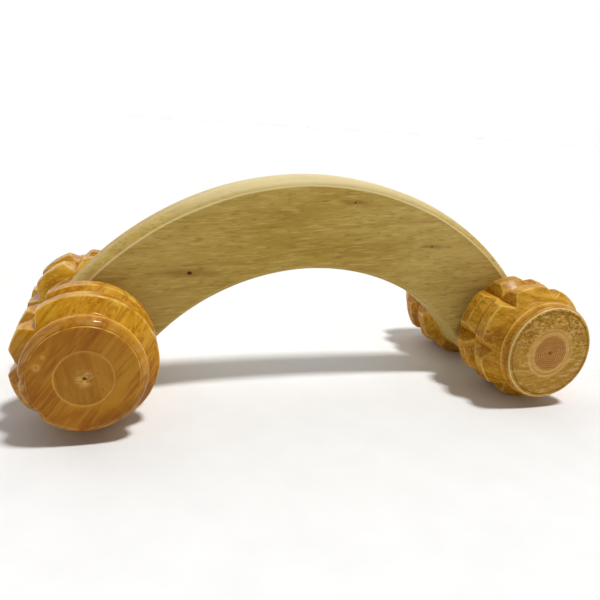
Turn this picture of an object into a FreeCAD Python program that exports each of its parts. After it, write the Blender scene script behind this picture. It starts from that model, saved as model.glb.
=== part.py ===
"""Foot massage roller: an arched wooden handle on four freely turning, knobbed wooden rollers.

Millimetres.  X runs along the handle, Y along the axles, Z up.  The origin is on the floor, below
the middle of the handle.  Front is the -Y side and left is the -X side.

Each roller is turned about its own +Y axis, which points away from the handle, so a front roller
is the same turning as a back one, swung half a turn about Z.  Places along that axis are measured
from the middle plane of the handle.
"""
import FreeCAD
import Part
import Sketcher
import math
import os
import re

SIZES = {
    # whole object
    "wheel_base": 160.0,
    "knob_radius": 22.0,
    # arched handle, a plank sawn to two arcs, with a rounded foot round each axle
    "handle_thickness": 16.0,
    "outer_rise": 56.5,
    "outer_arc_radius": 113.0,
    "inner_rise": 23.5,
    "inner_arc_radius": 80.0,
    "foot_depth": 13.0,
    "foot_outer_rounding": 15.0,
    "foot_inner_rounding": 6.0,
    "handle_edge_rounding": 3.5,
    # steel axle rod, pressed through the handle
    "axle_radius": 3.0,
    "axle_half_length": 34.2,
    "axle_chamfer": 0.5,
    "press_interference": 0.02,
    # washers
    "washer_thickness": 1.2,
    "washer_bore_radius": 3.2,
    "spacer_radius": 7.5,
    "outer_washer_radius": 6.5,
    "outer_washer_start": 29.2,
    # push-on axle cap
    "cap_flange_radius": 6.0,
    "cap_flange_thickness": 0.7,
    "cap_wall": 0.8,
    "cap_roof": 0.6,
    # roller, from its inner face outwards
    "roller_bore_radius": 3.08,
    "roller_start": 9.4,
    "inner_face_radius": 17.4,
    "first_crest_start": 15.0,
    "first_crest_end": 19.4,
    "groove_place": 23.0,
    "groove_radius": 19.4,
    "second_crest_start": 26.8,
    "second_crest_end": 30.8,
    "cove_start": 34.4,
    "cove_end": 36.6,
    "cove_radius": 17.3,
    "rim_place": 38.0,
    "rim_radius": 18.3,
    "lip_end": 41.5,
    "lip_radius": 16.0,
    "lip_rounding": 4.6,
    "face_place": 42.0,
    # counterbore and glued end plug
    "counterbore_start": 29.0,
    "plug_start": 35.6,
    "plug_radius": 8.4,
    "plug_chamfer": 0.35,
    "dimple_radius": 1.1,
    "dimple_depth": 1.3,
    # V-shaped notches that divide the two rings into knobs
    "notch_mouth": 8.2,
    "notch_root_radius": 18.6,
    "notch_stagger": -4.0,
    "notch_pitch": 51.43,
}

# Each corner: side along X, side along Y, angle of its first notch in degrees and how many notches.
# The angle is taken in the roller's own XZ plane, from +X towards +Z.
CORNERS = {
    "front_left": (-1, -1, 249.0, 4),
    "front_right": (1, -1, 2.5, 7),
    "back_left": (-1, 1, 0.0, 7),
    "back_right": (1, 1, 25.7, 7),
}
SIDES = {"left": -1, "right": 1}

FULL_TURN = 360.0
OVERCUT = 2.0

doc = FreeCAD.newDocument("foot_massage_roller")
sheet = doc.addObject("Spreadsheet::Sheet", "sizes")
for row, (alias, size) in enumerate(SIZES.items(), start=1):
    sheet.set(f"A{row}", alias)
    sheet.set(f"B{row}", str(size))
    sheet.setAlias(f"B{row}", alias)
doc.recompute()

nodes = {}


def bound(expression):
    """The expression with each alias written as a cell of the sheet."""
    return re.sub("[a-z_]+", lambda word: cell_name(word.group()), expression)


def cell_name(word):
    """A sheet cell's full name if the word is an alias, or the word itself if it is not."""
    return f"sizes.{word}" if word in SIZES else word


def measure(expression):
    """The number that an expression in aliases comes to."""
    return float(sheet.evalExpression(bound(expression)))


def keep(part, name, centre=(0.0, 0.0, 0.0), half_turn=False):
    """Name a finished sub-part and put it in its place."""
    part.Label = name
    rotation = FreeCAD.Rotation(FreeCAD.Vector(0, 0, 1), 180.0 if half_turn else 0.0)
    part.Placement = FreeCAD.Placement(FreeCAD.Vector(*centre), rotation)
    nodes[name] = part


def origin_plane(body, role):
    """One of a body's own origin planes or axes."""
    return next(item for item in body.Origin.OriginFeatures if item.Role == role)


def new_sketch(body, name, role):
    """A sketch on one of the body's origin planes."""
    sketch = body.newObject("Sketcher::SketchObject", name)
    sketch.AttachmentSupport = [(origin_plane(body, role), "")]
    sketch.MapMode = "FlatFace"
    return sketch


def arc_between(start, end, radius, bulge):
    """The shorter arc of a given radius from start to end; bulge 1 lies left of the way, -1 right."""
    half = (end - start) * 0.5
    rise = math.sqrt(radius ** 2 - half.Length ** 2)
    left = FreeCAD.Vector(-half.y, half.x, 0).normalize()
    centre = start + half - left * (rise * bulge)
    middle = centre + left * (radius * bulge)
    return Part.Arc(start, middle, end)


def closed_outline(sketch, corners):
    """Draw a closed outline and bind it to the sheet.

    A corner is (x, y) or (x, y, radius, bulge).  The second form is reached by an arc from the
    corner before it, or from the last corner if it is the first."""
    places = [FreeCAD.Vector(measure(item[0]), measure(item[1]), 0) for item in corners]
    for index, item in enumerate(corners):
        start = places[index - 1]
        end = places[index]
        if len(item) == 2:
            sketch.addGeometry(Part.LineSegment(start, end), False)
        else:
            sketch.addGeometry(arc_between(start, end, measure(item[2]), item[3]), False)
    count = len(corners)
    heads = [end_point(sketch, index, places[index]) for index in range(count)]
    tails = [3 - head for head in heads]
    for index in range(count):
        following = (index + 1) % count
        sketch.addConstraint(
            Sketcher.Constraint("Coincident", index, heads[index], following, tails[following])
        )
    for index, item in enumerate(corners):
        for letter, kind in (("x", "DistanceX"), ("y", "DistanceY")):
            expression = item[0] if letter == "x" else item[1]
            distance = measure(expression)
            number = sketch.addConstraint(
                Sketcher.Constraint(kind, -1, 1, index, heads[index], distance)
            )
            sketch.renameConstraint(number, f"corner_{index}_{letter}")
            sketch.setExpression(f"Constraints.corner_{index}_{letter}", bound(expression))
        if len(item) == 4:
            number = sketch.addConstraint(Sketcher.Constraint("Radius", index, measure(item[2])))
            sketch.renameConstraint(number, f"radius_{index}")
            sketch.setExpression(f"Constraints.radius_{index}", bound(item[2]))


def end_point(sketch, index, place):
    """1 if a line or arc starts at place, or 2 if it ends there."""
    return 1 if sketch.getPoint(index, 1).distanceToPoint(place) < 1e-6 else 2


def turned_body(name, corners):
    """A solid of revolution about +Y, from a profile of places along Y and radii."""
    body = doc.addObject("PartDesign::Body", name)
    sketch = new_sketch(body, f"{name}_profile", "YZ_Plane")
    closed_outline(sketch, corners)
    turning = body.newObject("PartDesign::Revolution", f"{name}_turning")
    turning.Profile = sketch
    turning.ReferenceAxis = (sketch, ["H_Axis"])
    turning.Angle = FULL_TURN
    body.Tip = turning
    return body


def washer(name, outer_radius):
    """A flat ring that starts at its own origin and runs along +Y."""
    disc = doc.addObject("Part::Cylinder", f"{name}_disc")
    disc.setExpression("Radius", bound(outer_radius))
    disc.setExpression("Height", bound("washer_thickness"))
    hole = doc.addObject("Part::Cylinder", f"{name}_hole")
    hole.setExpression("Radius", bound("washer_bore_radius"))
    hole.setExpression("Height", bound("washer_thickness"))
    for cylinder in (disc, hole):
        cylinder.Placement.Rotation = FreeCAD.Rotation(FreeCAD.Vector(1, 0, 0), -90.0)
    ring = doc.addObject("Part::Cut", name)
    ring.Base = disc
    ring.Tool = hole
    return ring


def corner_place(x_side, along_y):
    """A point on an axle; along_y is its place along Y."""
    return (x_side * measure("wheel_base / 2"), along_y, measure("knob_radius"))


# ---------------------------------------------------------------- arched handle

def flat_edges(shape, half):
    """Names of the edges that lie in either flat face of the plank."""
    names = []
    for number, edge in enumerate(shape.Edges, start=1):
        box = edge.BoundBox
        if box.YLength < 1e-6 and abs(abs(box.YMin) - half) < 1e-6:
            names.append(f"Edge{number}")
    return names


def cross_edges(shape, x_low, x_high):
    """Names of the straight edges through the plank whose place along X is between two values."""
    names = []
    for number, edge in enumerate(shape.Edges, start=1):
        box = edge.BoundBox
        if box.YLength > 1.0 and box.XLength < 1e-6 and x_low < abs(box.XMin) < x_high:
            names.append(f"Edge{number}")
    return names


def rounding(body, name, base, edges, radius):
    fillet = body.newObject("PartDesign::Fillet", name)
    fillet.Base = (base, edges)
    fillet.setExpression("Radius", bound(radius))
    body.Tip = fillet
    doc.recompute()
    return fillet


def build_handle():
    body = doc.addObject("PartDesign::Body", "arch_handle")
    sketch = new_sketch(body, "handle_outline", "XZ_Plane")
    outer_drop = "( outer_arc_radius - outer_rise - foot_depth )"
    inner_drop = "( inner_arc_radius - inner_rise - foot_depth )"
    outer_reach = f"sqrt(outer_arc_radius ^ 2 - {outer_drop} ^ 2 )"
    inner_reach = f"sqrt(inner_arc_radius ^ 2 - {inner_drop} ^ 2 )"
    closed_outline(sketch, [
        (f"0 - {outer_reach}", "0 - foot_depth"),
        (outer_reach, "0 - foot_depth", "outer_arc_radius", 1),
        (inner_reach, "0 - foot_depth"),
        (f"0 - {inner_reach}", "0 - foot_depth", "inner_arc_radius", -1),
    ])
    plank = body.newObject("PartDesign::Pad", "plank")
    plank.Profile = sketch
    plank.setExpression("Length", bound("handle_thickness"))
    plank.SideType = "Symmetric"
    body.Tip = plank
    doc.recompute()
    half = measure("handle_thickness / 2")
    middle = measure("wheel_base / 2")
    outer_corners = cross_edges(plank.Shape, middle, 2 * middle)
    feet = rounding(body, "foot_ends", plank, outer_corners, "foot_outer_rounding")
    inner_corners = cross_edges(feet.Shape, middle / 2, measure(f"{inner_reach} + 1"))
    feet = rounding(body, "foot_inner_corners", feet, inner_corners, "foot_inner_rounding")
    edges = flat_edges(feet.Shape, half)
    rounding(body, "softened_edges", feet, edges, "handle_edge_rounding")
    holes = new_sketch(body, "axle_holes", "XZ_Plane")
    for number, side in enumerate((-1, 1)):
        centre = FreeCAD.Vector(side * middle, 0, 0)
        radius = measure("axle_radius - press_interference")
        holes.addGeometry(Part.Circle(centre, FreeCAD.Vector(0, 0, 1), radius), False)
        place = holes.addConstraint(
            Sketcher.Constraint("DistanceX", -1, 1, number, 3, side * middle)
        )
        holes.renameConstraint(place, f"hole_{number}_place")
        holes.setExpression(f"Constraints.hole_{number}_place", bound(f"{side} * wheel_base / 2"))
        holes.addConstraint(Sketcher.Constraint("PointOnObject", number, 3, -1))
        width = holes.addConstraint(Sketcher.Constraint("Radius", number, radius))
        holes.renameConstraint(width, f"hole_{number}_radius")
        holes.setExpression(
            f"Constraints.hole_{number}_radius", bound("axle_radius - press_interference")
        )
    before = body.Tip.Shape.Volume
    bores = body.newObject("PartDesign::Pocket", "axle_bores")
    bores.Profile = holes
    bores.SideType = "Symmetric"
    bores.setExpression("Length", bound(f"handle_thickness + {OVERCUT}"))
    body.Tip = bores
    doc.recompute()
    require_cut("axle_bores", before, bores.Shape.Volume)
    keep(body, "arch_handle", (0.0, 0.0, measure("knob_radius")))


def require_cut(name, before, after):
    """Stop if a cutting feature took nothing away."""
    if after > before - 1.0:
        raise RuntimeError(f"{name} cut nothing: {before:.1f} to {after:.1f}")


# ---------------------------------------------------------------- axles, washers, caps, plugs

def build_axle(side_name, x_side):
    name = f"axle_{side_name}"
    body = turned_body(name, [
        ("0 - axle_half_length", "0"),
        ("0 - axle_half_length", "axle_radius - axle_chamfer"),
        ("axle_chamfer - axle_half_length", "axle_radius"),
        ("axle_half_length - axle_chamfer", "axle_radius"),
        ("axle_half_length", "axle_radius - axle_chamfer"),
        ("axle_half_length", "0"),
    ])
    keep(body, name, corner_place(x_side, 0.0))


def build_washers(corner, x_side, y_side):
    outward = y_side < 0
    spacer = washer(f"spacer_washer_{corner}", "spacer_radius")
    start = y_side * measure("handle_thickness / 2")
    keep(spacer, f"spacer_washer_{corner}", corner_place(x_side, start), outward)
    retaining = washer(f"outer_washer_{corner}", "outer_washer_radius")
    start = y_side * measure("outer_washer_start")
    keep(retaining, f"outer_washer_{corner}", corner_place(x_side, start), outward)


def build_cap(corner, x_side, y_side):
    """A flanged cap that grips the end of the axle and holds the outer washer on."""
    name = f"axle_cap_{corner}"
    bore = "axle_radius - press_interference"
    start = "outer_washer_start + washer_thickness"
    ceiling = "axle_half_length + press_interference"
    body = turned_body(name, [
        (start, bore),
        (start, "cap_flange_radius"),
        (f"{start} + cap_flange_thickness", "cap_flange_radius"),
        (f"{start} + cap_flange_thickness", "axle_radius + cap_wall"),
        (f"{ceiling} + cap_roof", "axle_radius + cap_wall"),
        (f"{ceiling} + cap_roof", "0"),
        (ceiling, "0"),
        (ceiling, bore),
    ])
    keep(body, name, corner_place(x_side, 0.0), y_side < 0)


def build_plug(corner, x_side, y_side):
    """A turned disc glued in the mouth of the counterbore, with the lathe centre's dimple."""
    name = f"end_plug_{corner}"
    body = turned_body(name, [
        ("plug_start", "0"),
        ("plug_start", "plug_radius"),
        ("face_place - plug_chamfer", "plug_radius"),
        ("face_place", "plug_radius - plug_chamfer"),
        ("face_place", "dimple_radius"),
        ("face_place - dimple_depth", "0"),
    ])
    keep(body, name, corner_place(x_side, 0.0), y_side < 0)


# ---------------------------------------------------------------- knobbed rollers

def notch_row(body, name, start, end, angle, count):
    """Cut a row of V notches through one ring, parallel to the axle."""
    sketch = new_sketch(body, f"{name}_section", "XZ_Plane")
    closed_outline(sketch, [
        ("0 - notch_mouth / 2", "knob_radius"),
        ("0 - notch_mouth / 2", f"knob_radius + {OVERCUT}"),
        ("notch_mouth / 2", f"knob_radius + {OVERCUT}"),
        ("notch_mouth / 2", "knob_radius"),
        ("0", "notch_root_radius"),
    ])
    turn = FreeCAD.Rotation(FreeCAD.Vector(0, 0, 1), angle)
    sketch.AttachmentOffset = FreeCAD.Placement(FreeCAD.Vector(0, 0, 0), turn)
    sketch.setExpression(".AttachmentOffset.Base.z", bound(f"0 - ( {start} )"))
    before = body.Tip.Shape.Volume
    cut = body.newObject("PartDesign::Pocket", f"{name}_cut")
    cut.Profile = sketch
    cut.setExpression("Length", bound(f"{end} - ( {start} )"))
    body.Tip = cut
    doc.recompute()
    require_cut(f"{name}_cut", before, cut.Shape.Volume)
    before = cut.Shape.Volume
    pattern = body.newObject("PartDesign::PolarPattern", f"{name}_pattern")
    pattern.Originals = [cut]
    pattern.Axis = (sketch, ["N_Axis"])
    if count * measure("notch_pitch") < FULL_TURN:
        pattern.setExpression("Angle", bound(f"{count - 1} * notch_pitch"))
    else:
        pattern.Angle = FULL_TURN
    pattern.Occurrences = count
    body.Tip = pattern
    doc.recompute()
    require_cut(f"{name}_pattern", before, pattern.Shape.Volume)


def build_roller(corner, x_side, y_side, first_angle, count):
    name = f"roller_{corner}"
    hole = "plug_radius - press_interference"
    body = turned_body(name, [
        ("roller_start", "roller_bore_radius"),
        ("roller_start", "inner_face_radius"),
        ("first_crest_start", "knob_radius"),
        ("first_crest_end", "knob_radius"),
        ("groove_place", "groove_radius"),
        ("second_crest_start", "knob_radius"),
        ("second_crest_end", "knob_radius"),
        ("cove_start", "cove_radius"),
        ("cove_end", "cove_radius"),
        ("rim_place", "rim_radius"),
        ("lip_end", "lip_radius", "lip_rounding", 1),
        ("face_place", f"{hole} + plug_chamfer"),
        ("face_place - plug_chamfer", hole),
        ("counterbore_start", hole),
        ("counterbore_start", "roller_bore_radius"),
    ])
    doc.recompute()
    upright = 90.0
    notch_row(body, f"{name}_first_ring", f"roller_start - {OVERCUT}", "groove_place",
              first_angle - upright, count)
    notch_row(body, f"{name}_second_ring", "groove_place", "cove_start",
              first_angle - upright + measure("notch_stagger"), count)
    keep(body, name, corner_place(x_side, 0.0), y_side < 0)


# ---------------------------------------------------------------- assembly and output

def check_and_write():
    doc.recompute()
    for item in doc.Objects:
        if "Invalid" in item.State or "Error" in item.State:
            raise RuntimeError(f"{item.Label} failed: {item.State}")
    os.makedirs("parts", exist_ok=True)
    for name, part in nodes.items():
        shape = part.Shape
        if shape.isNull() or not shape.isValid() or len(shape.Solids) != 1:
            raise RuntimeError(f"{name} is not one valid solid")
    for name, part in nodes.items():
        part.Shape.exportStep(f"parts/{name}.step")
        box = part.Shape.BoundBox
        print(f"{name:28s} {box.XLength:7.2f} {box.YLength:7.2f} {box.ZLength:7.2f}"
              f" {part.Shape.Volume:10.1f}")


build_handle()
for axle_side, axle_x in SIDES.items():
    build_axle(axle_side, axle_x)
for corner_name, (corner_x, corner_y, notch_angle, notch_count) in CORNERS.items():
    build_roller(corner_name, corner_x, corner_y, notch_angle, notch_count)
    build_washers(corner_name, corner_x, corner_y)
    build_cap(corner_name, corner_x, corner_y)
    build_plug(corner_name, corner_x, corner_y)
check_and_write()
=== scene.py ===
"""Looks of the foot massage roller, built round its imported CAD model.

Metres, in the CAD frame: X runs along the handle, Y along the axles, Z up.  The arched handle, the
four knobbed rollers and their end plugs are remade here as finer meshes that stand for their CAD
nodes.  The steel axles, washers and caps keep their CAD meshes and get their metal here.
"""

import math
import random

import bmesh
import bpy
import numpy as np
from mathutils import Matrix, Vector


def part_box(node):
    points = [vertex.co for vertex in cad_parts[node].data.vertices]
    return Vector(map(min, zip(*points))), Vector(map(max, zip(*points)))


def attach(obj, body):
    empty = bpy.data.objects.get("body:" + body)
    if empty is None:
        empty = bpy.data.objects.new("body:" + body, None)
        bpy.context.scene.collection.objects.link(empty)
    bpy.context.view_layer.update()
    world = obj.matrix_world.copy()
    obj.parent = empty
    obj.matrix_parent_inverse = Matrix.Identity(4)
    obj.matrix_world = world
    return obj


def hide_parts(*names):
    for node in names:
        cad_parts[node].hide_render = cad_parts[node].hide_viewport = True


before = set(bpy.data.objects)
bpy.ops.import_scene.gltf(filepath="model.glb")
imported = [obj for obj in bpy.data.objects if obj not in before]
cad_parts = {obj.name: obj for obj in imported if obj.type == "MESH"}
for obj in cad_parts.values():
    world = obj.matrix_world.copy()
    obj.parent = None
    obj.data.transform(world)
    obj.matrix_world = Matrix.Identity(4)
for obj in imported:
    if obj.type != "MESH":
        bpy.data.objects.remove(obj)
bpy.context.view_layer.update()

MM = 0.001
FULL_TURN = 2 * math.pi

# ---------------------------------------------------------------- sizes

# The handle: its places come from the CAD's boxes, and its arcs and rounded feet repeat the CAD's.

HANDLE_LOW, HANDLE_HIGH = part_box("arch_handle")
AXLE_LOW, AXLE_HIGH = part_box("axle_right")
ROLLER_LOW, ROLLER_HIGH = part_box("roller_back_right")
PLUG_LOW, PLUG_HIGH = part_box("end_plug_back_right")
AXLE_X = (AXLE_LOW.x + AXLE_HIGH.x) / 2
AXLE_Z = (AXLE_LOW.z + AXLE_HIGH.z) / 2
AXLE_RADIUS = (AXLE_HIGH.z - AXLE_LOW.z) / 2
HALF_THICKNESS = HANDLE_HIGH.y
OUTER_RISE = HANDLE_HIGH.z - AXLE_Z
FOOT_DEPTH = AXLE_Z - HANDLE_LOW.z
OUTER_ARC_RADIUS = 113.0 * MM
INNER_ARC_RADIUS = 80.0 * MM
INNER_RISE = 23.5 * MM
FOOT_OUTER_ROUNDING = 15.0 * MM
FOOT_INNER_ROUNDING = 6.0 * MM

# Roundings of the handle's edges along its two arcs, where the CAD has one size all round, and the
# width over which the painted highlight along an edge fades into the flat face.
OUTER_EDGE_ROUNDING = 4.6 * MM
INNER_EDGE_ROUNDING = 1.2 * MM
EDGE_LINE = 0.45 * MM

# The roller's profile: places along its axle from the middle of the handle, and radii, millimetres.
# They repeat the CAD's, but for a softer cove and lip.
INNER_FACE_RADIUS = 17.4
KNOB_RADIUS = 22.0
FIRST_CREST = (15.0, 19.4)
GROOVE_PLACE = 23.0
GROOVE_RADIUS = 19.4
SECOND_CREST = (26.8, 30.8)
COVE_START = 34.4
COVE = [(COVE_START, 17.5), (35.6, 17.2), (36.7, 17.3)]
ROLLER_START = ROLLER_LOW.y / MM
FACE_PLACE = ROLLER_HIGH.y / MM
BORE_RADIUS = 3.08
PLUG_RADIUS = (PLUG_HIGH.z - PLUG_LOW.z) / 2 / MM
PLUG_START = PLUG_LOW.y / MM
COUNTERBORE_START = 29.0
RIM = (38.0, 18.3)

# The lip curves in from the rim, through this many degrees and steps, to just short of the face.
LIP_PLACE = 41.45
LIP_TURN = 84
LIP_STEPS = 16

# Radius of the flat end face; the front right roller's end was left nearly square.
END_RADIUS = {"front_left": 16.0, "front_right": 17.3, "back_left": 16.0, "back_right": 16.0}

# The V notches, millimetres: their section, where they end along the axle, and the stretch of it
# over which the first ring's notches give way to the second's.
NOTCH_MOUTH = 8.2
NOTCH_ROOT = 18.6
NOTCH_SOFTNESS = 0.45
NOTCHES_END = COVE_START + 1.0
RING_CHANGE = 0.8

# Each corner: its sides along X and Y, then where the hand-cut notches of its first and second ring
# stand, in degrees anticlockwise from +X as seen from the front.
CORNERS = {
    "front_left": (-1, -1, (131, 174, 222, 272), (137, 176, 228, 277)),
    "front_right": (1, -1, (-22, 30, 81, 125, 179, 231, 284), (-26, 26, 75, 127, 184, 235, 287)),
    "back_left": (-1, 1, (0, 51, 104, 155, 206, 257, 308), (-4, 47, 99, 151, 202, 252, 305)),
    "back_right": (1, 1, (26, 78, 128, 180, 232, 283, 334), (22, 73, 124, 175, 228, 278, 330)),
}

# Dents that the notch cutter left in the lip: angle in degrees, depth in millimetres, width in degrees.
LIP_DENTS = {"front_left": [(219, 1.6, 5), (181, 0.7, 4)]}

# Points round each grid, and round each axle hole in the handle.
ROLLER_COLUMNS = 480
PLUG_COLUMNS = 160
HOLE_STEPS = 48


# ---------------------------------------------------------------- mesh helpers

def mesh_object(name, verts, faces, attributes=None):
    """A smooth-shaded mesh object; attributes are one number per vertex, by name."""
    mesh = bpy.data.meshes.new(name)
    mesh.from_pydata(verts, [], faces)
    mesh.validate()
    mesh.update()
    for attribute_name, values in (attributes or {}).items():
        layer = mesh.attributes.new(attribute_name, "FLOAT", "POINT")
        layer.data.foreach_set("value", np.asarray(values, np.float32))
    for polygon in mesh.polygons:
        polygon.use_smooth = True
    piece = bpy.data.objects.new(name, mesh)
    bpy.context.scene.collection.objects.link(piece)
    return piece


def grid_faces(rows, columns, flip=False):
    """Quads of a grid that is closed round its columns and round its rows; flip turns them over."""
    faces = []
    for row in range(rows):
        below = row * columns
        above = (row + 1) % rows * columns
        for column in range(columns):
            side = (column + 1) % columns
            face = (below + column, below + side, above + side, above + column)
            faces.append(face[::-1] if flip else face)
    return faces


def swung_round(corner, places, radii, angles):
    """Vertices of a grid swung round a corner's axle; places and radii are in millimetres."""
    x_side, y_side, _, _ = CORNERS[corner]
    x = x_side * AXLE_X + radii * np.cos(angles) * MM
    y = np.repeat(y_side * places[:, None] * MM, len(angles), axis=1)
    z = AXLE_Z + radii * np.sin(angles) * MM
    return np.stack([x, y, z], axis=-1).reshape(-1, 3).tolist()


def smooth_min(a, b, softness):
    """The smaller of two values, with a rounded change from one to the other."""
    blend = np.clip(0.5 + 0.5 * (b - a) / softness, 0, 1)
    return b + (a - b) * blend - softness * blend * (1 - blend)


# ---------------------------------------------------------------- arched handle

def arc(centre, radius, start, end, step):
    """Points and outward directions along an arc, about one step apart; angles in radians."""
    count = max(2, int(abs(end - start) * radius / step))
    angles = np.linspace(start, end, count, endpoint=False)
    directions = np.column_stack([np.cos(angles), np.sin(angles)])
    return np.asarray(centre) + directions * radius, directions


def handle_outline(step):
    """The plank's outline in X and height over the axles, anticlockwise, with outward directions."""
    outer_centre = (0.0, OUTER_RISE - OUTER_ARC_RADIUS)
    inner_centre = (0.0, INNER_RISE - INNER_ARC_RADIUS)
    outer_z = -FOOT_DEPTH + FOOT_OUTER_ROUNDING
    reach = OUTER_ARC_RADIUS - FOOT_OUTER_ROUNDING
    outer_x = math.sqrt(reach ** 2 - (outer_z - outer_centre[1]) ** 2)
    outer_angle = math.atan2(outer_z - outer_centre[1], outer_x)
    inner_z = -FOOT_DEPTH + FOOT_INNER_ROUNDING
    reach = INNER_ARC_RADIUS + FOOT_INNER_ROUNDING
    inner_x = math.sqrt(reach ** 2 - (inner_z - inner_centre[1]) ** 2)
    inner_angle = math.atan2(inner_z - inner_centre[1], inner_x)
    down = -math.pi / 2
    pieces = [arc(outer_centre, OUTER_ARC_RADIUS, outer_angle, math.pi - outer_angle, step)]
    pieces.append(
        arc((-outer_x, outer_z), FOOT_OUTER_ROUNDING, math.pi - outer_angle, math.pi - down, step)
    )
    pieces.append(arc((-inner_x, inner_z), FOOT_INNER_ROUNDING, down, -inner_angle, step))
    points, directions = arc(
        inner_centre, INNER_ARC_RADIUS, math.pi - inner_angle, inner_angle, step
    )
    pieces.append((points, -directions))
    pieces.append(
        arc((inner_x, inner_z), FOOT_INNER_ROUNDING, math.pi + inner_angle, -down * 3, step)
    )
    pieces.append(arc((outer_x, outer_z), FOOT_OUTER_ROUNDING, down, outer_angle, step))
    points = np.concatenate([item[0] for item in pieces])
    directions = np.concatenate([item[1] for item in pieces])
    return points, directions


def edge_roundings(points, directions):
    """Rounding at each outline point: wide along the outer arc, slight along the inner one."""
    outward = np.clip(directions[:, 1] * 1.2 + np.abs(directions[:, 0]) * 0.9, -1, 1)
    inner = np.hypot(points[:, 0], points[:, 1] - INNER_RISE + INNER_ARC_RADIUS) < INNER_ARC_RADIUS * 1.02
    share = np.where(inner, 0.0, 0.5 + 0.5 * outward)
    softenings = 24
    for _ in range(softenings):
        share = (share + np.roll(share, 1) + np.roll(share, -1)) / 3
    return INNER_EDGE_ROUNDING + (OUTER_EDGE_ROUNDING - INNER_EDGE_ROUNDING) * share


def build_handle():
    """The plank: two flat faces with axle holes, routed edges and sanded, slightly uneven sides."""
    points, directions = handle_outline(0.9 * MM)
    count = len(points)
    rounding = edge_roundings(points, directions)
    # How strong the painted highlight along each edge is: strongest where the rounding is widest.
    pale = 0.25 + 0.75 * (rounding - INNER_EDGE_ROUNDING) / (OUTER_EDGE_ROUNDING - INNER_EDGE_ROUNDING)
    first_angle = math.radians(22)
    rounding_steps = 8
    side_steps = 6
    half = []
    for number in range(rounding_steps + 1):
        turn = first_angle + (math.pi / 2 - first_angle) * number / rounding_steps
        depth = HALF_THICKNESS - rounding * (math.cos(first_angle) - math.cos(turn))
        half.append((rounding * (1 - math.sin(turn)), -depth))
    border_inset, border_depth = half[0]
    half.insert(0, (border_inset + EDGE_LINE, border_depth))
    loops = list(half)
    flat = -half[-1][1]
    for number in range(1, side_steps):
        loops.append((np.zeros(count), -flat + 2 * flat * number / side_steps))
    loops += [(inset, -depth) for inset, depth in reversed(half)]
    verts = []
    edge = []
    along = np.arange(count) / count * FULL_TURN
    for number, (inset, depth) in enumerate(loops):
        border = number in (1, len(loops) - 2)
        if number in (0, 1, len(loops) - 2, len(loops) - 1):
            uneven = 0.10 * MM * (1 + np.sin(11 * along) * np.sin(5 * along))
        else:
            uneven = 0.06 * MM * (1 + np.sin(7 * along + number) * np.sin(3 * along + 1.3))
        place = points - directions * (inset + uneven)[:, None]
        for (x, z), y in zip(place, depth):
            verts.append((x, y, z + AXLE_Z))
        edge += (pale if border else np.zeros(count)).tolist()
    faces = []
    for row in range(len(loops) - 1):
        for column in range(count):
            side = (column + 1) % count
            a = row * count
            b = a + count
            faces.append((a + column, b + column, b + side, a + side))
    piece = mesh_object("arch_handle_wood", verts, faces, {"edge": edge})
    close_flat_sides(piece, count, len(loops))
    return piece


def close_flat_sides(piece, count, loops):
    """Fill both flat faces of the plank, leaving the axle holes, and line the holes."""
    mesh = bmesh.new()
    mesh.from_mesh(piece.data)
    rims = {}
    for x_side in (-1, 1):
        for y_side in (-1, 1):
            rim = []
            for number in range(HOLE_STEPS):
                angle = FULL_TURN * number / HOLE_STEPS
                rim.append(mesh.verts.new((
                    x_side * AXLE_X + AXLE_RADIUS * math.cos(angle),
                    y_side * HALF_THICKNESS,
                    AXLE_Z + AXLE_RADIUS * math.sin(angle),
                )))
            rims[x_side, y_side] = rim
    mesh.verts.ensure_lookup_table()
    for y_side, first in ((-1, 0), (1, (loops - 1) * count)):
        ring = [mesh.verts[first + number] for number in range(count)]
        edges = []
        for loop in (ring, rims[-1, y_side], rims[1, y_side]):
            for number, vert in enumerate(loop):
                other = loop[(number + 1) % len(loop)]
                found = mesh.edges.get((vert, other))
                edges.append(found or mesh.edges.new((vert, other)))
        filled = bmesh.ops.triangle_fill(
            mesh, edges=edges, use_beauty=True, use_dissolve=False, normal=(0, y_side, 0)
        )
        for item in filled["geom"]:
            if isinstance(item, bmesh.types.BMFace):
                item.smooth = False
                if item.normal.y * y_side < 0:
                    item.normal_flip()
    for x_side in (-1, 1):
        front = rims[x_side, -1]
        back = rims[x_side, 1]
        for number in range(HOLE_STEPS):
            after = (number + 1) % HOLE_STEPS
            mesh.faces.new((front[number], front[after], back[after], back[number]))
    bmesh.ops.recalc_face_normals(mesh, faces=mesh.faces)
    mesh.to_mesh(piece.data)
    mesh.free()
    piece.data.update()


# ---------------------------------------------------------------- knobbed rollers

def line(start, end, step):
    """Points from start up to, but not including, end."""
    start = np.array(start, float)
    end = np.array(end, float)
    count = max(1, int(np.linalg.norm(end - start) / step))
    return [start + (end - start) * number / count for number in range(count)]


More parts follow.
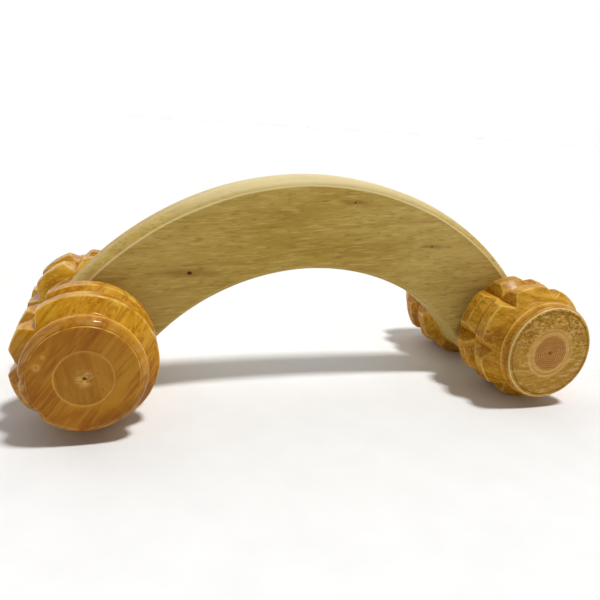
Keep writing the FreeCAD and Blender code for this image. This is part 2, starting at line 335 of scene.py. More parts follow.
def roller_profile(end_radius):
    """Closed profile of place and radius, millimetres: first the turned outside, then the bore."""
    fine = 0.3
    coarse = 2.2
    corners = [
        (ROLLER_START, INNER_FACE_RADIUS),
        (FIRST_CREST[0], KNOB_RADIUS),
        (FIRST_CREST[1], KNOB_RADIUS),
        (GROOVE_PLACE, GROOVE_RADIUS),
        (SECOND_CREST[0], KNOB_RADIUS),
        (SECOND_CREST[1], KNOB_RADIUS),
        *COVE,
        RIM,
    ]
    outside = []
    for start, end in zip(corners, corners[1:]):
        outside += line(start, end, fine)
    lip_depth = LIP_PLACE - RIM[0]
    lip_drop = RIM[1] - end_radius
    for number in range(LIP_STEPS + 1):
        angle = math.radians(LIP_TURN - LIP_TURN * number / LIP_STEPS)
        outside.append(np.array((
            RIM[0] + lip_depth * math.cos(angle),
            end_radius + lip_drop * math.sin(angle),
        )))
    outside.append(np.array((FACE_PLACE - 0.3, end_radius - 0.05)))
    outside.append(np.array((FACE_PLACE - 0.02, end_radius - 0.35)))
    outside = np.array(outside)
    # The turned corners are softened, but not the last points, where the lip meets the flat face.
    outside[1:-4] = outside[1:-4] * 0.5 + (outside[:-5] + outside[2:-3]) * 0.25
    wall = PLUG_RADIUS + 0.02
    border = wall + 0.22
    face = line((FACE_PLACE, end_radius - 0.8), (FACE_PLACE, border), 0.7)
    rest = [np.array((FACE_PLACE, border)), np.array((FACE_PLACE - 0.2, wall))]
    rest += line((FACE_PLACE - 1.0, wall), (COUNTERBORE_START, wall), coarse)
    rest += line((COUNTERBORE_START, wall), (COUNTERBORE_START, BORE_RADIUS), coarse)
    rest += line((COUNTERBORE_START, BORE_RADIUS), (ROLLER_START, BORE_RADIUS), coarse * 2)
    rest += line((ROLLER_START, BORE_RADIUS), (ROLLER_START, INNER_FACE_RADIUS - 0.2), coarse)
    return np.concatenate([outside, np.array(face + rest)]), len(outside)


def turned_edges(profile):
    """How sharp an outward edge the profile has at each of its points, 0 to 1."""
    before = profile - np.roll(profile, 1, 0)
    after = np.roll(profile, -1, 0) - profile
    turn = before[:, 1] * after[:, 0] - before[:, 0] * after[:, 1]
    turn /= np.hypot(*before.T) * np.hypot(*after.T) + 1e-9
    spread = turn + np.roll(turn, 1) + np.roll(turn, -1)
    return np.clip((spread - 0.15) / 0.5, 0, 1)


def notches(angles, places, wobble):
    """Radius of the notched surface over one ring, millimetres, for each angle round the roller."""
    far_out = 99.0
    shallowest = 0.05
    surface = np.full(len(angles), far_out)
    half_mouth = NOTCH_MOUTH / 2
    for place in places:
        root = NOTCH_ROOT + wobble.uniform(-0.25, 0.35)
        slope = (KNOB_RADIUS - root) / (half_mouth * wobble.uniform(0.94, 1.08))
        off = (angles - math.radians(place) + math.pi) % FULL_TURN - math.pi
        bottom = np.cos(off) - slope * np.abs(np.sin(off))
        inside = (np.abs(off) < 1.0) & (bottom > shallowest)
        cut = np.where(inside, root / np.maximum(bottom, shallowest), far_out)
        surface = np.minimum(surface, cut)
    return surface


def blurred(field, reach):
    """A height field averaged over its neighbours; closed round its columns only."""
    out = field.copy()
    for _ in range(reach):
        out = (out + np.roll(out, 1, 1) + np.roll(out, -1, 1)) / 3
        rows = out.copy()
        rows[1:-1] = (out[:-2] + out[1:-1] + out[2:]) / 3
        out = rows
    return out


def notched(profile, outside, corner, angles):
    """The turned surface's radii, a row for each point of the profile, with both rings' notches cut."""
    _, _, first_places, second_places = CORNERS[corner]
    wobble = random.Random(f"notches {corner}")
    first_ring = notches(angles, first_places, wobble)
    second_ring = notches(angles, second_places, wobble)
    radii = np.repeat(profile[:, 1:2], len(angles), axis=1)
    for row in range(outside):
        place = profile[row, 0]
        if place > NOTCHES_END:
            break
        share = min(max((place - GROOVE_PLACE) / RING_CHANGE + 0.5, 0.0), 1.0)
        cut = first_ring * (1 - share) + second_ring * share
        radii[row] = np.minimum(smooth_min(radii[row], cut, NOTCH_SOFTNESS), profile[row, 1])
    return radii


def lip_dents(profile, corner, angles):
    """How much lower the dents make each point of the lip, millimetres."""
    end_radius = END_RADIUS[corner]
    before_rim = 2.0
    near_lip = profile[:, 0] > RIM[0] - before_rim
    lip_share = (profile[:, 1] - end_radius) / (RIM[1] - end_radius) * near_lip
    lower = np.zeros((len(profile), len(angles)))
    for angle, depth, width in LIP_DENTS.get(corner, []):
        off = (np.degrees(angles) - angle + 180) % 360 - 180
        lower += np.clip(lip_share, 0, 1)[:, None] * depth * np.exp(-(off / width) ** 2)
    return lower


def light_and_wear_masks(profile, outside, radii):
    """Each vertex's height over its surroundings, millimetres, and how sharp an edge it is on: masks for
    the varnish's painted shade, light and edge highlights, and its edge wear.
    """
    wide, narrow = 9, 2
    lip_rows = 3
    cut_depth = 0.15
    faintest, range_to_full = 0.02, 0.07
    turned = radii[:outside]
    relief = np.zeros_like(radii)
    relief[:outside] = turned - blurred(turned, wide)
    sharp = turned_edges(profile)
    sharp[outside - lip_rows:] = 0
    edge = np.repeat(sharp[:, None], radii.shape[1], axis=1)
    uncut = turned > profile[:outside, 1:2] - cut_depth
    cut_edge = np.clip((turned - blurred(turned, narrow) - faintest) / range_to_full, 0, 1)
    edge[:outside] = np.maximum(edge[:outside] * uncut, cut_edge)
    return {"relief": relief.reshape(-1), "edge": edge.reshape(-1)}


def build_roller(corner):
    """A turned roller as a closed grid: its profile swung round the axle, with the notches cut in."""
    angles = np.arange(ROLLER_COLUMNS) * FULL_TURN / ROLLER_COLUMNS
    profile, outside = roller_profile(END_RADIUS[corner])
    radii = notched(profile, outside, corner, angles) - lip_dents(profile, corner, angles)
    verts = swung_round(corner, profile[:, 0], radii, angles)
    faces = grid_faces(len(profile), ROLLER_COLUMNS, flip=CORNERS[corner][1] > 0)
    return mesh_object(f"roller_wood_{corner}", verts, faces, light_and_wear_masks(profile, outside, radii))


def plug_profile():
    """Place and radius of the plug's surface, millimetres, from its hidden back to its dimple."""
    side = PLUG_RADIUS - 0.01
    ring_depth = 0.03
    ring_step = 0.12
    rings_end = 1.3
    dimple = [(0.05, 0.85), (0.3, 0.55), (0.6, 0.3), (0.7, 0.12)]
    profile = [(PLUG_START, 0.4), (PLUG_START, 4.0), (PLUG_START, side)]
    profile += [(FACE_PLACE - 0.25, side), (FACE_PLACE - 0.03, side - 0.22)]
    radius = side - 0.5
    while radius > rings_end:
        ring = ring_depth * (1 + math.sin(radius * 9.0)) * (0.5 + 0.5 * math.sin(radius * 1.7))
        profile.append((FACE_PLACE - ring, radius))
        radius -= ring_step
    profile += [(FACE_PLACE - depth, radius) for depth, radius in dimple]
    return np.array(profile)


def build_plug(corner):
    """The plug's disc: a chamfered border, faint lathe rings and the dimple of the lathe centre."""
    at_back = CORNERS[corner][1] > 0
    profile = plug_profile()
    angles = np.arange(PLUG_COLUMNS) * FULL_TURN / PLUG_COLUMNS
    verts = swung_round(corner, profile[:, 0], profile[:, 1:2], angles)
    faces = grid_faces(len(profile), PLUG_COLUMNS, flip=at_back)[:-PLUG_COLUMNS]
    last = (len(profile) - 1) * PLUG_COLUMNS
    caps = [tuple(reversed(range(PLUG_COLUMNS))), tuple(range(last, last + PLUG_COLUMNS))]
    faces += [cap[::-1] for cap in caps] if at_back else caps
    return mesh_object(f"end_plug_wood_{corner}", verts, faces)


# ---------------------------------------------------------------- material helpers

def srgb(red, green, blue):
    """A colour given as 0 to 255 screen values, as linear light."""
    def linear(value):
        value /= 255
        return value / 12.92 if value <= 0.04045 else ((value + 0.055) / 1.055) ** 2.4
    return (linear(red), linear(green), linear(blue), 1.0)


class Nodes:
    """A material's node tree, with short calls for the nodes that the woods and metals use."""

    def __init__(self, name):
        self.material = bpy.data.materials.new(name)
        self.material.use_nodes = True
        self.tree = self.material.node_tree
        self.shader = self.tree.nodes["Principled BSDF"]

    def add(self, kind, **settings):
        node = self.tree.nodes.new(kind)
        for key, value in settings.items():
            setattr(node, key, value)
        return node

    def join(self, value, socket):
        """Feed a socket with another node's output or with a plain value."""
        if isinstance(value, bpy.types.NodeSocket):
            self.tree.links.new(value, socket)
        else:
            socket.default_value = value

    def place(self, shift, turn, stretch):
        """Object coordinates, moved, turned about Y and then stretched."""
        coordinates = self.add("ShaderNodeTexCoord")
        turned = self.add("ShaderNodeMapping", vector_type="POINT")
        self.join(coordinates.outputs["Object"], turned.inputs["Vector"])
        turned.inputs["Location"].default_value = shift
        turned.inputs["Rotation"].default_value = (0, turn, 0)
        stretched = self.add("ShaderNodeMapping", vector_type="POINT")
        self.join(turned.outputs["Vector"], stretched.inputs["Vector"])
        stretched.inputs["Scale"].default_value = stretch
        return stretched.outputs["Vector"]

    def noise(self, vector, scale, detail=4.0, roughness=0.55, distortion=0.0):
        node = self.add("ShaderNodeTexNoise")
        self.join(vector, node.inputs["Vector"])
        node.inputs["Scale"].default_value = scale
        node.inputs["Detail"].default_value = detail
        node.inputs["Roughness"].default_value = roughness
        node.inputs["Distortion"].default_value = distortion
        return node.outputs["Fac"]

    def ramp(self, value, stops):
        """A colour ramp; stops are places and colours."""
        node = self.add("ShaderNodeValToRGB")
        self.join(value, node.inputs["Fac"])
        elements = node.color_ramp.elements
        while len(elements) < len(stops):
            elements.new(0.5)
        for element, (place, colour) in zip(elements, stops):
            element.position = place
            element.color = colour
        return node.outputs["Color"]

    def window(self, value, low, high, start=0.0, end=1.0):
        """The value mapped from low..high to start..end and held there."""
        node = self.add("ShaderNodeMapRange", interpolation_type="SMOOTHSTEP")
        self.join(value, node.inputs["Value"])
        node.inputs["From Min"].default_value = low
        node.inputs["From Max"].default_value = high
        node.inputs["To Min"].default_value = start
        node.inputs["To Max"].default_value = end
        return node.outputs["Result"]

    def math(self, operation, first, second=0.0):
        node = self.add("ShaderNodeMath", operation=operation)
        self.join(first, node.inputs[0])
        self.join(second, node.inputs[1])
        return node.outputs[0]

    def mix(self, share, first, second, blend="MIX"):
        """Two colours mixed; a Mix node keeps its colours in sockets 6 and 7 and gives the third output."""
        node = self.add("ShaderNodeMix", data_type="RGBA", blend_type=blend)
        self.join(share, node.inputs[0])
        self.join(first, node.inputs[6])
        self.join(second, node.inputs[7])
        return node.outputs[2]

    def attribute(self, name):
        return self.add("ShaderNodeAttribute", attribute_name=name).outputs["Fac"]

    def bump(self, height, distance, strength):
        node = self.add("ShaderNodeBump")
        self.join(height, node.inputs["Height"])
        node.inputs["Distance"].default_value = distance
        node.inputs["Strength"].default_value = strength
        return node.outputs["Normal"]

    def part_of(self, coordinates, axis):
        """One axis of the object's coordinates, by name "Object" or "Normal"."""
        axes = self.add("ShaderNodeSeparateXYZ")
        self.join(self.add("ShaderNodeTexCoord").outputs[coordinates], axes.inputs[0])
        return axes.outputs[axis]

    def upward(self):
        """How far the surface faces up, -1 to 1."""
        return self.part_of("Normal", "Z")

    def end_face(self):
        """1 on a roller's flat end, 0 elsewhere."""
        out = self.math("ABSOLUTE", self.part_of("Object", "Y"))
        return self.window(out, (FACE_PLACE - 0.6) * MM, (FACE_PLACE - 0.2) * MM)

    def distance(self, centre, stretch):
        """Distance from a point, in metres, with each axis scaled first."""
        coordinates = self.add("ShaderNodeTexCoord").outputs["Object"]
        moved = self.add("ShaderNodeVectorMath", operation="SUBTRACT")
        self.join(coordinates, moved.inputs[0])
        moved.inputs[1].default_value = centre
        scaled = self.add("ShaderNodeVectorMath", operation="MULTIPLY")
        self.join(moved.outputs[0], scaled.inputs[0])
        scaled.inputs[1].default_value = stretch
        length = self.add("ShaderNodeVectorMath", operation="LENGTH")
        self.join(scaled.outputs[0], length.inputs[0])
        return length.outputs["Value"]

    def from_axle(self, corner):
        """Distance from a corner's axle line, in metres."""
        return self.distance((CORNERS[corner][0] * AXLE_X, 0, AXLE_Z), (1, 0, 1))

    def share(self, value, low, high, start, end, inside):
        """A window of a value, only as far as another value lets it."""
        return self.math("MULTIPLY", self.window(value, low, high, start, end), inside)

    def surface(self, inputs):
        """Feed the shader's inputs, by name, and give the finished material."""
        for name, value in inputs.items():
            self.join(value, self.shader.inputs[name])
        return self.material


# ---------------------------------------------------------------- materials

# A pattern that is stretched the same along every axis.
EVEN = (1, 1, 1)

# Pin knots in the handle's front face: place along X, height over the axles, radius, metres.
HANDLE_KNOTS = [(-0.0464, 0.0223, 0.0008), (0.0455, 0.0320, 0.0004), (0.0125, 0.0480, 0.0004)]

# Where along X the handle's wood is darkest, and how far from there it has turned pale, metres.
PALE_FROM = -0.008
PALE_REACH = 0.070

# Heights over the axles between which the rounded top of the handle is painted pale: painted light and
# sheen from above, metres.
LIT_TOP_FROM = 0.034
LIT_TOP_TO = 0.056

# Small knots in a roller's end: place from the axle along X and Z, radius, metres.
END_KNOTS = {
    "front_left": [(-0.0127, 0.0042, 0.0006), (-0.0108, 0.0072, 0.0004), (-0.0172, -0.0018, 0.0006)],
}

# How much of the duller tone a roller's end takes on: end grain's darker varnish, and painted shade on the
# end against the sides lit from above.
END_GRAIN_AND_SHADE_SHARE = 0.66

# The end that the lathe left coarse, and the distance between its tool rings, metres.
ROUGH_ENDS = ("front_right",)
RING_PITCH = 0.00078


def handle_grain(nodes):
    """The handle's colour from its broad figure down to its pores; also streaks, fibre and pores."""
    broad = nodes.noise(nodes.place((0.3, 0.1, 0.2), 0.05, (9, 30, 42)), 1.6, 3.0, 0.5, 0.8)
    streaks = nodes.noise(nodes.place((0.0, 0.4, 0.0), 0.07, (22, 120, 260)), 1.8, 5.0, 0.62, 0.6)
    fibre = nodes.noise(nodes.place((0.1, 0.0, 0.3), 0.07, (110, 600, 1100)), 1.3, 3.0, 0.65)
    pores = nodes.noise(nodes.place((0.7, 0.2, 0.1), 0.07, (240, 1100, 1700)), 1.0, 2.0, 0.5)
    blotch = nodes.noise(nodes.place((0.9, 0.5, 0.6), 0.0, EVEN), 38, 2.0, 0.5)
    colour = nodes.ramp(broad, [
        (0.32, srgb(160, 129, 47)), (0.50, srgb(170, 139, 57)), (0.68, srgb(184, 155, 76)),
    ])
    away = nodes.math("ABSOLUTE", nodes.math("SUBTRACT", nodes.part_of("Object", "X"), PALE_FROM))
    colour = nodes.mix(nodes.window(away, 0.0, PALE_REACH, 0.0, 0.65), colour, srgb(198, 171, 98))
    colour = nodes.mix(nodes.window(blotch, 0.40, 0.68, 0.0, 0.20), colour, srgb(162, 130, 50))
    colour = nodes.mix(nodes.window(streaks, 0.45, 0.70, 0.0, 0.44), colour, srgb(142, 110, 37))
    colour = nodes.mix(nodes.window(fibre, 0.46, 0.74, 0.0, 0.50), colour, srgb(212, 184, 110))
    pore = nodes.window(pores, 0.56, 0.68, 0.0, 0.36)
    return nodes.mix(pore, colour, srgb(118, 88, 28)), streaks, fibre, pore


def pin_knots(nodes, colour):
    """The small knots of the handle's front, each a dark core in a halo drawn out along the grain."""
    for along, height, radius in HANDLE_KNOTS:
        centre = (along, -HALF_THICKNESS, AXLE_Z + height)
        drawn_out = nodes.distance(centre, (0.22, 1, 1.6))
        halo = nodes.window(drawn_out, radius * 0.9, radius * 4.5, 0.55, 0.0)
        colour = nodes.mix(halo, colour, srgb(122, 86, 26))
        core = nodes.window(nodes.distance(centre, (0.75, 1, 1)), radius * 0.5, radius, 1.0, 0.0)
        colour = nodes.mix(core, colour, srgb(58, 32, 12))
    return colour


def handle_wood():
    """Pale sanded wood with fine grain along the handle, short pores and a few pin knots, with painted
    light on its top and painted highlights along its edges.
    """
    nodes = Nodes("handle_pale_wood")
    colour, streaks, fibre, pore = handle_grain(nodes)
    colour = pin_knots(nodes, colour)
    # The top is painted paler where it faces up: painted light and sheen from the light above.
    high = nodes.window(nodes.part_of("Object", "Z"), AXLE_Z + LIT_TOP_FROM, AXLE_Z + LIT_TOP_TO)
    lit_crest = nodes.share(nodes.upward(), 0.15, 0.75, 0.0, 0.72, high)
    colour = nodes.mix(lit_crest, colour, srgb(226, 210, 160))
    # A painted highlight along the rounded edges.
    edge = nodes.math("MULTIPLY", nodes.attribute("edge"), 0.75)
    colour = nodes.mix(edge, colour, srgb(236, 218, 160))
    height = nodes.math("SUBTRACT", nodes.math("MULTIPLY", fibre, 0.6), nodes.math("MULTIPLY", pore, 1.4))
    return nodes.surface({
        "Base Color": colour,
        "Roughness": nodes.window(streaks, 0.2, 0.8, 0.46, 0.62),
        "Normal": nodes.bump(height, 0.00010, 0.6),
        "Specular IOR Level": 0.16,
    })


def varnished_grain(nodes, grain_turn, tone, shift, line_share):
    """The varnished wood's colour, from broad figure to flecks; also its bands and fibre."""
    dark, middle, light = tone
    broad = nodes.noise(nodes.place(shift, grain_turn, (16, 46, 70)), 1.3, 3.0, 0.5, 1.2)
    bands = nodes.noise(nodes.place(shift, grain_turn, (26, 150, 330)), 1.3, 4.0, 0.55, 1.4)
    fibre = nodes.noise(nodes.place(shift, grain_turn, (120, 900, 1000)), 1.2, 3.0, 0.6)
    flecks = nodes.noise(nodes.place(shift, grain_turn, (500, 1500, 1500)), 1.0, 2.0, 0.5)
    colour = nodes.ramp(broad, [(0.34, dark), (0.50, middle), (0.66, light)])
    colour = nodes.mix(nodes.window(bands, 0.47, 0.62, 0.0, 0.60), colour, dark)
    colour = nodes.mix(nodes.window(bands, 0.44, 0.34, 0.0, 0.50), colour, light)
    colour = nodes.mix(nodes.window(fibre, 0.50, 0.66, 0.0, line_share), colour, light)
    colour = nodes.mix(nodes.window(flecks, 0.64, 0.72, 0.0, 0.50), colour, srgb(118, 60, 4))
    return colour, bands, fibre


def end_grain_shade_and_rim_highlight(nodes, colour):
    """Duller wood towards the roller's end, partly end grain and partly painted shade, and a painted
    highlight along its rim.
    """
    outward = nodes.math("ABSOLUTE", nodes.part_of("Object", "Y"))
    # The end is darker: end grain, and painted shade against the sides lit from above.
    share = nodes.window(outward, (FACE_PLACE - 3.4) * MM, (FACE_PLACE - 1.4) * MM, 0.0, END_GRAIN_AND_SHADE_SHARE)
    colour = nodes.mix(share, colour, nodes.mix(1.0, colour, srgb(206, 174, 112), "MULTIPLY"))
    # A painted highlight along the rim.
    rim = nodes.math("ABSOLUTE", nodes.math("SUBTRACT", outward, RIM[0] * MM))
    return nodes.mix(nodes.window(rim, 0.0002, 0.0011, 0.45, 0.0), colour, srgb(232, 192, 104))


def end_knots(nodes, colour, corner, bands):
    """The small knots in a roller's end, each a dark core in a pale halo."""
    for along, height, radius in END_KNOTS.get(corner, []):
        centre = (CORNERS[corner][0] * AXLE_X + along, -FACE_PLACE * MM, AXLE_Z + height)
        away = nodes.math("ADD", nodes.distance(centre, (1, 0.3, 1)), nodes.math("MULTIPLY", bands, 0.0012))
        halo = nodes.window(away, radius * 1.6, radius * 4.0, 0.50, 0.0)
        colour = nodes.mix(halo, colour, srgb(214, 166, 84))
        core = nodes.window(away, radius, radius * 1.7, 0.90, 0.0)
        colour = nodes.mix(core, colour, srgb(104, 54, 10))
    return colour


def plug_joint(nodes, colour, radius):
    """A thin pale line where the plug meets the roller."""
    joint = nodes.math("ABSOLUTE", nodes.math("SUBTRACT", radius, PLUG_RADIUS * MM))
    pale = nodes.share(joint, 0.00010, 0.00036, 0.75, 0.0, nodes.end_face())
    return nodes.mix(pale, colour, srgb(226, 176, 84))


def knob_shade_light_and_wear(nodes, colour, ripple):
    """Painted shade down in the notches; paler on top of the knobs and along their edges: painted light and
    highlights, partly wear.
    """
    relief = nodes.attribute("relief")
    # Painted shade in the notches and painted light on the raised knobs.
    colour = nodes.mix(nodes.window(relief, -0.03, -0.30, 0.0, 0.60), colour, srgb(150, 84, 2))
    colour = nodes.mix(nodes.window(relief, 0.10, 0.40, 0.0, 0.45), colour, srgb(222, 170, 74))
    # Pale edges, broken up by a fine noise: painted highlight, partly wear.
    edge = nodes.share(ripple, 0.35, 0.6, 0.15, 1.0, nodes.attribute("edge"))
    return nodes.mix(nodes.math("MULTIPLY", edge, 0.55), colour, srgb(238, 198, 112))


def varnished_wood(name, corner, grain_turn, tone, shift, plug=False):
    """Honey-coloured wood under clear varnish; its grain runs across the roller."""
    nodes = Nodes(name)
    rough_end = corner in ROUGH_ENDS
    line_share = 0.85 if rough_end else 0.50
    colour, bands, fibre = varnished_grain(nodes, grain_turn, tone, shift, line_share)
    colour = end_grain_shade_and_rim_highlight(nodes, colour)
    height = nodes.math("MULTIPLY", fibre, 0.35)
    radius = nodes.from_axle(corner)
    ripple = nodes.noise(nodes.place(shift, 0.0, EVEN), 300, 2.0, 0.5)
    if rough_end:
        colour, height = rough_turned_end(nodes, colour, height, radius, corner)
    elif plug:
        colour = scratched_centre(nodes, colour, radius, shift)
    if plug:
        colour = plug_joint(nodes, colour, radius)
    else:
        colour = end_knots(nodes, colour, corner, bands)
        colour = plug_joint(nodes, colour, radius)
        colour = knob_shade_light_and_wear(nodes, colour, ripple)
    return nodes.surface({
        "Base Color": colour,
        "Roughness": nodes.window(bands, 0.2, 0.8, 0.34, 0.46),
        "Normal": nodes.bump(nodes.math("ADD", height, ripple), 0.00007, 0.6),
        "Specular IOR Level": 0.03,
        "Coat Weight": 0.25 if rough_end else 0.40,
        "Coat Roughness": 0.26 if rough_end else 0.10,
        "Coat IOR": 1.38,
        "Coat Normal": nodes.bump(ripple, 0.00006, 0.6),
    })


def rough_turned_end(nodes, colour, height, radius, corner):
    """An end face left coarse by the lathe: tool rings round the centre and torn grain outside them."""
    face = nodes.end_face()
    middle = nodes.share(radius, 0.0088, 0.0102, 1.0, 0.0, face)
    wander = nodes.noise(nodes.place((0.2, 0.1, 0.5), 0.0, EVEN), 240, 3.0, 0.6)
    wavy = nodes.math("ADD", radius, nodes.math("MULTIPLY", wander, 0.0007))
    figure = nodes.noise(nodes.place((0.4, 0.1, 0.2), 0.12, (120, 1, 520)), 1.6, 5.0, 0.65, 0.8)
    colour = nodes.mix(nodes.math("MULTIPLY", face, 0.75), colour, srgb(172, 130, 44))
    colour = nodes.mix(nodes.share(figure, 0.48, 0.64, 0.0, 0.60, face), colour, srgb(216, 182, 116))
    colour = nodes.mix(nodes.share(figure, 0.46, 0.36, 0.0, 0.50, face), colour, srgb(150, 106, 30))
    colour, ridges = tool_rings(nodes, colour, radius, wavy, figure, middle, face)
    colour, rough = torn_grain(nodes, colour, middle, face, corner)
    colour, groove = turned_border(nodes, colour, radius, wavy, face, corner)
    relief = nodes.math("SUBTRACT", ridges, nodes.math("ADD", rough, groove))
    return colour, nodes.math("ADD", height, relief)


def tool_rings(nodes, colour, radius, wavy, figure, middle, face):
    """Fine pale rings over the plug and a little beyond; also their height."""
    rings = nodes.math("SINE", nodes.math("MULTIPLY", wavy, FULL_TURN / RING_PITCH))
    inner = nodes.share(radius, 0.0062, 0.0070, 1.0, 0.0, face)
    colour = nodes.mix(nodes.math("MULTIPLY", middle, 0.55), colour, srgb(204, 160, 92))
    colour = nodes.mix(nodes.math("MULTIPLY", inner, 0.80), colour, srgb(146, 84, 16))
    line = nodes.share(rings, 0.1, 0.95, 0.0, 0.58, middle)
    colour = nodes.mix(nodes.share(figure, 0.35, 0.6, 0.45, 1.0, line), colour, srgb(222, 174, 104))
    return colour, nodes.math("MULTIPLY", nodes.math("MULTIPLY", rings, middle), 0.9)


def torn_grain(nodes, colour, middle, face, corner):
    """Dark and pale tufts outside the rings, thickest over the centre; also their height."""
    torn = nodes.noise(nodes.place((0.3, 0.7, 0.1), -0.4, (800, 1, 1250)), 1.0, 4.0, 0.7, 0.4)
    centre = (CORNERS[corner][0] * AXLE_X + 0.001, -FACE_PLACE * MM, AXLE_Z + 0.0090)
    patch = nodes.share(nodes.distance(centre, (0.58, 0.2, 0.9)), 0.0070, 0.0130, 1.0, 0.15, face)
    outside = nodes.math("MULTIPLY", nodes.math("SUBTRACT", 1.0, middle), patch)
    colour = nodes.mix(nodes.share(torn, 0.50, 0.60, 0.0, 0.85, outside), colour, srgb(134, 84, 6))
    colour = nodes.mix(nodes.share(torn, 0.46, 0.36, 0.0, 0.80, outside), colour, srgb(220, 180, 84))
    return colour, nodes.math("MULTIPLY", nodes.math("MULTIPLY", torn, outside), 3.5)


def turned_border(nodes, colour, radius, wavy, face, corner):
    """A bright line round the end face and a dark groove inside it; also the groove's depth."""
    rim = nodes.math("ABSOLUTE", nodes.math("SUBTRACT", radius, END_RADIUS[corner] * MM))
    rim = nodes.share(rim, 0.0001, 0.0006, 0.80, 0.0, face)
    colour = nodes.mix(rim, colour, srgb(240, 216, 150))
    groove = nodes.math("ABSOLUTE", nodes.math("SUBTRACT", wavy, 0.0163))
    groove = nodes.share(groove, 0.00008, 0.00045, 0.75, 0.0, face)
    return nodes.mix(groove, colour, srgb(120, 78, 14)), groove


def scratched_centre(nodes, colour, radius, shift):
    """Pale scratches round the dimple that the lathe centre left."""
    torn = nodes.noise(nodes.place(shift, 0.3, (420, 420, 700)), 1.0, 4.0, 0.65, 0.6)
    near = nodes.window(radius, 0.0010, 0.0034, 1.0, 0.0)
    share = nodes.math("MULTIPLY", nodes.math("MULTIPLY", near, nodes.window(torn, 0.42, 0.56)), 0.75)
    colour = nodes.mix(share, colour, srgb(214, 172, 92))
    hole = nodes.window(radius, 0.0003, 0.0008, 0.75, 0.0)
    return nodes.mix(hole, colour, srgb(84, 44, 6))


def steel(name, colour, roughness):
    """Bright metal with fine random scratches and a little dulling."""
    nodes = Nodes(name)
    dull = nodes.noise(nodes.place((0, 0, 0), 0.0, EVEN), 420, 4.0, 0.6)
    scratch = nodes.noise(nodes.place((0.2, 0, 0), 0.4, (300, 3000, 300)), 1.0, 3.0, 0.6)
    return nodes.surface({
        "Base Color": nodes.mix(nodes.window(dull, 0.4, 0.7), colour, srgb(150, 148, 140)),
        "Metallic": 1.0,
        "Roughness": nodes.window(scratch, 0.3, 0.7, roughness, roughness + 0.18),
        "Normal": nodes.bump(scratch, 0.00002, 0.4),
    })


def paint(piece, material):
    piece.data.materials.clear()
    piece.data.materials.append(material)


# ---------------------------------------------------------------- the object

# Tones of the varnished wood: dark, middle and light.
ORANGE = (srgb(152, 90, 3), srgb(181, 123, 15), srgb(203, 154, 48))
GOLDEN = (srgb(156, 100, 5), srgb(184, 130, 22), srgb(210, 162, 62))
DULL = (srgb(168, 114, 20), srgb(184, 134, 34), srgb(196, 148, 52))

# How far a plug's grain is turned from its roller's.
PLUG_TURN = math.radians(50)

# Each corner: direction of its grain, its tones and the place of its grain in the wood.
LOOKS = {
    "front_left": (math.radians(52), ORANGE, (0.11, 0.32, 0.07)),
    "front_right": (math.radians(-8), GOLDEN, (0.52, 0.13, 0.40)),
    "back_left": (math.radians(12), GOLDEN, (0.23, 0.61, 0.19)),
    "back_right": (math.radians(70), ORANGE, (0.81, 0.27, 0.33)),
}

handle = build_handle()
paint(handle, handle_wood())
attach(handle, "handle")
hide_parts("arch_handle")

for corner, (grain_turn, tone, grain_shift) in LOOKS.items():
    body = f"roller_{corner}_body"
    roller = build_roller(corner)
    paint(roller, varnished_wood(f"roller_varnish_{corner}", corner, grain_turn, tone, grain_shift))
    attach(roller, body)
    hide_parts(f"roller_{corner}")
    plug = build_plug(corner)
    plug_turn = grain_turn + PLUG_TURN
    paint(plug, varnished_wood(f"plug_varnish_{corner}", corner, plug_turn, DULL, grain_shift, plug=True))
    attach(plug, body)
    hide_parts(f"end_plug_{corner}")

AXLE_STEEL = steel("axle_steel", srgb(190, 190, 192), 0.22)
WASHER_STEEL = steel("washer_steel", srgb(200, 198, 190), 0.30)
for node_name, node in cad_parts.items():
    if node_name.startswith("axle_cap") or "washer" in node_name:
        paint(node, WASHER_STEEL)
    elif node_name.startswith("axle"):
        paint(node, AXLE_STEEL)


# ---------------------------------------------------------------- floor, light and camera

# Brightness of the room in front of the object and behind it.
FRONT_ROOM = 0.03
BACK_ROOM = 1.0

# The key light is distant: where it comes from, its strength and its width in degrees.
KEY_SOURCE = (0.28, -0.17, 1.0)
KEY_STRENGTH = 2.75
KEY_SPREAD = 9

# The fill light, metres and watts.
FILL_PLACE = (0.7, -0.9, 0.45)
FILL_TARGET = (0, 0, 0.03)
FILL_SIZE = (0.8, 0.5)
FILL_POWER = 0.8

# The photograph's point of view: near, left of the middle, looking right and a little down.
CAMERA_PLACE = (-0.0707, -0.2127, 0.0982)
CAMERA_YAW = math.radians(17.55)
CAMERA_PITCH = math.radians(16.71)
CAMERA_ROLL = math.radians(3.96)
CAMERA_SENSOR = 36.0
CAMERA_LENS = 36.5


def build_floor():
    size = 6.0
    verts = [(-size, -size, 0), (size, -size, 0), (size, size, 0), (-size, size, 0)]
    floor = mesh_object("floor", verts, [(0, 1, 2, 3)])
    nodes = Nodes("floor_white")
    grain = nodes.noise(nodes.place((0, 0, 0), 0.0, EVEN), 60, 3.0, 0.6)
    tones = nodes.ramp(grain, [(0.3, srgb(228, 228, 227)), (0.7, srgb(232, 232, 231))])
    paint(floor, nodes.surface({"Base Color": tones, "Roughness": 0.9}))


def aim(light, direction):
    """Turn a light to shine along a direction, and put it in the scene."""
    light.rotation_euler = direction.to_track_quat("-Z", "Y").to_euler()
    bpy.context.scene.collection.objects.link(light)


def build_lights():
    key = bpy.data.lights.new("key", "SUN")
    key.energy = KEY_STRENGTH
    key.angle = math.radians(KEY_SPREAD)
    aim(bpy.data.objects.new("key", key), -Vector(KEY_SOURCE))
    fill = bpy.data.lights.new("fill", "AREA")
    fill.shape = "RECTANGLE"
    fill.size, fill.size_y = FILL_SIZE
    fill.energy = FILL_POWER
    light = bpy.data.objects.new("fill", fill)
    light.location = FILL_PLACE
    aim(light, Vector(FILL_TARGET) - Vector(FILL_PLACE))


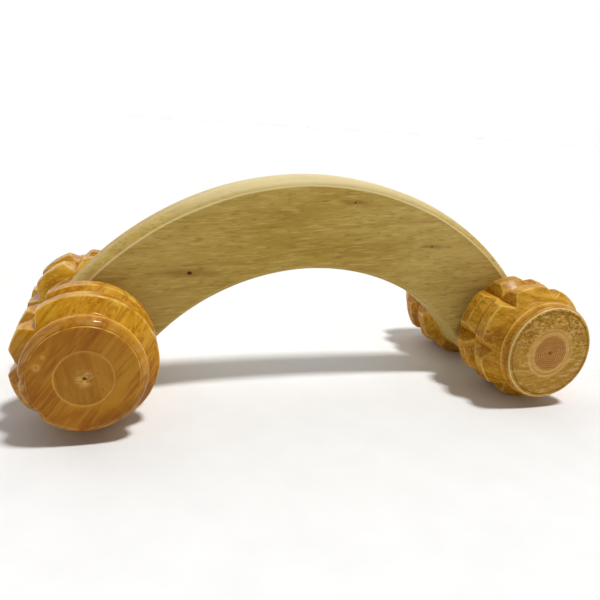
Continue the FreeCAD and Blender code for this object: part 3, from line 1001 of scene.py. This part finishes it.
def eased(tree, value, low, high, start, end):
    """The value mapped from low..high to start..end, held outside them."""
    node = tree.nodes.new("ShaderNodeMapRange")
    node.interpolation_type = "SMOOTHSTEP"
    tree.links.new(value, node.inputs["Value"])
    limits = {"From Min": low, "From Max": high, "To Min": start, "To Max": end}
    for name, limit in limits.items():
        node.inputs[name].default_value = limit
    return node.outputs["Result"]


def build_world():
    """A white room, darker above and in front of the object so that varnish has something to mirror."""
    world = bpy.data.worlds.new("studio")
    world.use_nodes = True
    tree = world.node_tree
    background = tree.nodes["Background"]
    axes = tree.nodes.new("ShaderNodeSeparateXYZ")
    tree.links.new(tree.nodes.new("ShaderNodeTexCoord").outputs["Generated"], axes.inputs[0])
    room = eased(tree, axes.outputs["Y"], -0.15, 0.45, FRONT_ROOM, BACK_ROOM)
    horizon = eased(tree, axes.outputs["Z"], 0.10, 0.28, 1.0, 0.0)
    brighter = tree.nodes.new("ShaderNodeMath")
    brighter.operation = "MAXIMUM"
    tree.links.new(room, brighter.inputs[0])
    tree.links.new(horizon, brighter.inputs[1])
    tree.links.new(brighter.outputs[0], background.inputs["Strength"])
    background.inputs["Color"].default_value = (1.0, 1.0, 1.0, 1.0)
    bpy.context.scene.world = world


def build_camera():
    level = math.cos(CAMERA_PITCH)
    ahead = Vector((math.sin(CAMERA_YAW) * level, math.cos(CAMERA_YAW) * level, -math.sin(CAMERA_PITCH)))
    level_right = Vector((math.cos(CAMERA_YAW), -math.sin(CAMERA_YAW), 0))
    level_up = level_right.cross(ahead)
    right = math.cos(CAMERA_ROLL) * level_right + math.sin(CAMERA_ROLL) * level_up
    up = math.cos(CAMERA_ROLL) * level_up - math.sin(CAMERA_ROLL) * level_right
    data = bpy.data.cameras.new("camera")
    data.sensor_width = CAMERA_SENSOR
    data.lens = CAMERA_LENS
    data.clip_start = 0.01
    camera = bpy.data.objects.new("camera", data)
    axes = Matrix((right, up, -ahead)).transposed()
    camera.matrix_world = Matrix.Translation(CAMERA_PLACE) @ axes.to_4x4()
    bpy.context.scene.collection.objects.link(camera)
    bpy.context.scene.camera = camera


build_floor()
build_world()
build_lights()
bpy.context.scene.view_settings.view_transform = "Standard"
build_camera()
